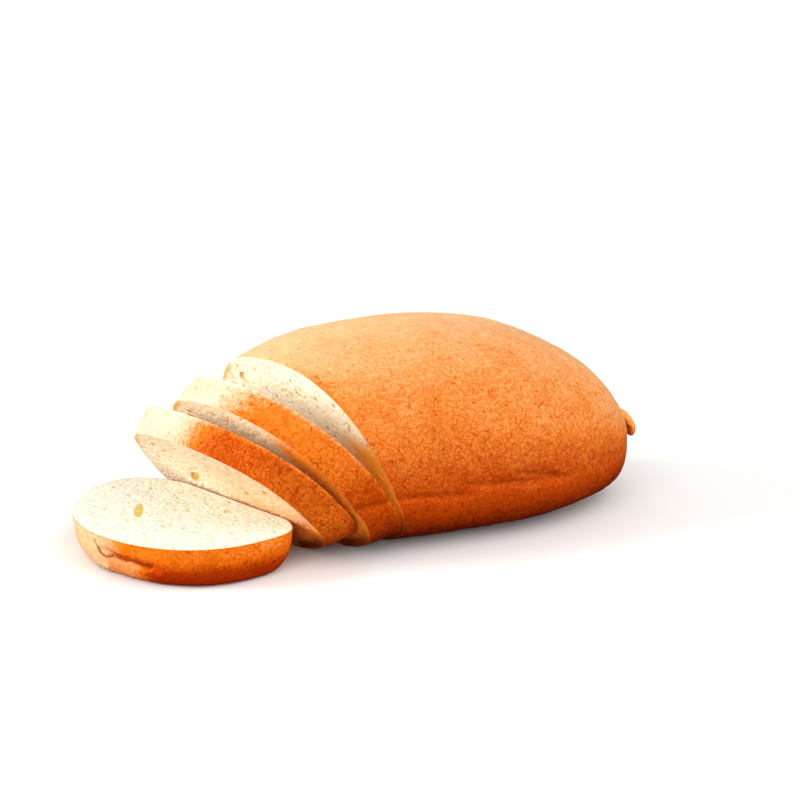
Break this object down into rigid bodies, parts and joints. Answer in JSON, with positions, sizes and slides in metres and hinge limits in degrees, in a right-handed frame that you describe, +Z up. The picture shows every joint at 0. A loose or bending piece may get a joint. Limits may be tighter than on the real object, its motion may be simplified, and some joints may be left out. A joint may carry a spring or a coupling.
{
  "type": "partly sliced bread loaf",
  "caption": "Soft oval bread loaf, partly sliced: the uncut part stands, its slices topple beside it, and the end piece lies flat with its cut face up.",
  "frame": {"origin": "middle of the whole set's footprint, on the surface it rests on", "axes": "+X along the loaf towards its uncut tip, +Z up, -Y the side the picture shows"},
  "size_m": [0.3634, 0.1782, 0.1173],
  "materials": {
    "crust": "matte"
  },
  "bodies": {
    "root": {"loaf": "crust", "slice_upper": "crust", "slice_lower": "crust", "heel": "crust"}
  },
  "joints": []
}
